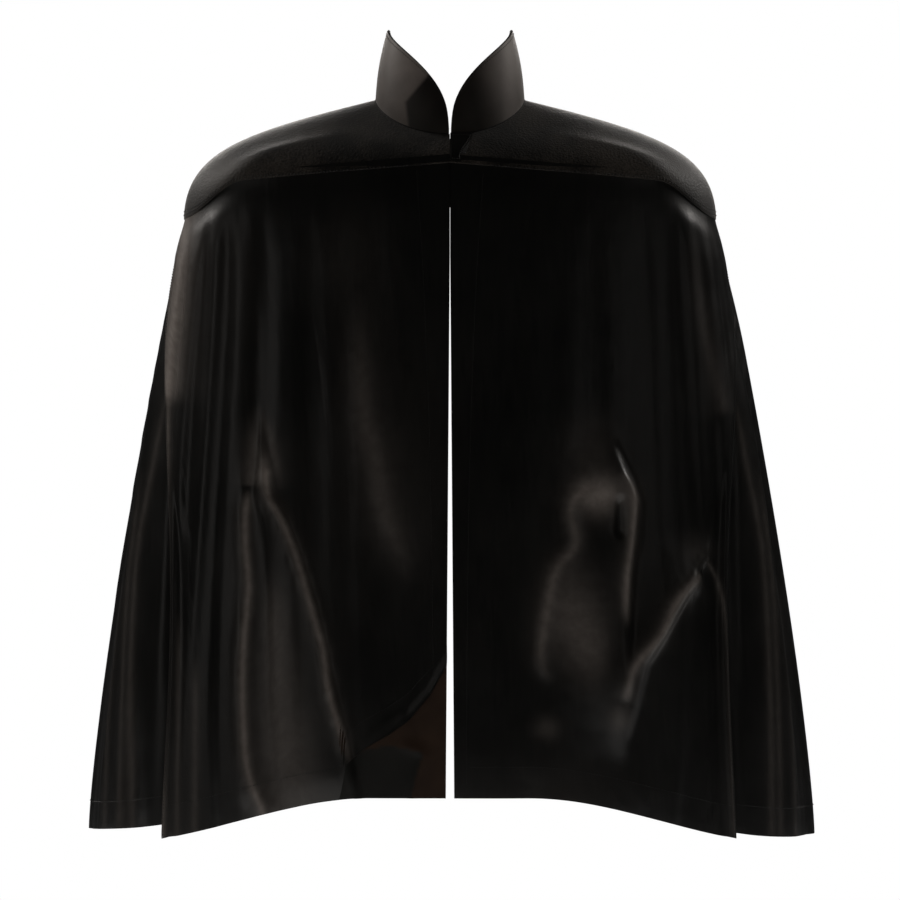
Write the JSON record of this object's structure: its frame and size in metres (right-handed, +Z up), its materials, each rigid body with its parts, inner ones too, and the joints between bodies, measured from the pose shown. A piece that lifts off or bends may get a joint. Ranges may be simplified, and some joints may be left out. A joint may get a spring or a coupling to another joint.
{
  "type": "superhero cape",
  "caption": "Short glossy cape with a padded matte shoulder yoke, a pointed stiff stand collar, open front, side arm slits and weighted hem.",
  "frame": {"origin": "centre of the neck opening at the height of the side neck points", "axes": "+Z up, -Y to the wearer's front, +X to the wearer's left"},
  "size_m": [0.7888, 0.465, 0.883],
  "materials": {
    "yoke_suede": "matte",
    "panel_satin": "gloss",
    "lining_satin": "satin",
    "collar_cloth": "satin",
    "collar_facing": "satin",
    "collar_board": "matte",
    "pad_felt": "matte",
    "seam_tape": "matte",
    "hook_tape": "matte",
    "weight_metal": "brushed"
  },
  "bodies": {
    "root": {"left_yoke": "yoke_suede", "left_shoulder_pad": "pad_felt", "left_yoke_lining": "lining_satin", "left_yoke_seam_tape": "seam_tape", "left_collar_outer": "collar_cloth", "left_collar_stiffener": "collar_board", "left_collar_facing": "collar_facing", "right_yoke": "yoke_suede", "right_shoulder_pad": "pad_felt", "right_yoke_lining": "lining_satin", "right_yoke_seam_tape": "seam_tape", "right_collar_outer": "collar_cloth", "right_collar_stiffener": "collar_board", "right_collar_facing": "collar_facing", "neck_tab_loop_patch": "hook_tape"},
    "front_left": {"front_left_shell": "panel_satin", "front_left_lining": "lining_satin", "front_left_edge_facing": "seam_tape", "front_left_hem_band": "seam_tape", "front_left_hem_weight": "weight_metal"},
    "front_right": {"front_right_shell": "panel_satin", "front_right_lining": "lining_satin", "front_right_edge_facing": "seam_tape", "front_right_hem_band": "seam_tape", "front_right_hem_weight": "weight_metal"},
    "back_left": {"back_left_shell": "panel_satin", "back_left_lining": "lining_satin", "back_left_edge_facing": "seam_tape", "back_left_hem_band": "seam_tape", "back_left_hem_weight": "weight_metal"},
    "back_right": {"back_right_shell": "panel_satin", "back_right_lining": "lining_satin", "back_right_edge_facing": "seam_tape", "back_right_hem_band": "seam_tape", "back_right_hem_weight": "weight_metal"},
    "neck_tab": {"neck_tab": "panel_satin", "neck_tab_hook_patch": "hook_tape"}
  },
  "joints": [
    {"name": "front_left_swing", "type": "hinge", "parent": "root", "child": "front_left", "pos_m": [0, -0.102, -0.068], "axis": [-0.9511, -0.309, 0], "range_deg": [0, 45]},
    {"name": "front_right_swing", "type": "hinge", "parent": "root", "child": "front_right", "pos_m": [0, -0.102, -0.068], "axis": [-0.9511, 0.309, 0], "range_deg": [0, 45]},
    {"name": "back_left_swing", "type": "hinge", "parent": "root", "child": "back_left", "pos_m": [0, 0.112, -0.07], "axis": [1, 0, 0], "range_deg": [0, 60]},
    {"name": "back_right_swing", "type": "hinge", "parent": "root", "child": "back_right", "pos_m": [0, 0.112, -0.07], "axis": [1, 0, 0], "range_deg": [0, 60]},
    {"name": "neck_tab_hinge", "type": "hinge", "parent": "root", "child": "neck_tab", "pos_m": [0, -0.0923, -0.0544], "axis": [0, -0.6873, -0.7263], "range_deg": [0, 150]}
  ]
}
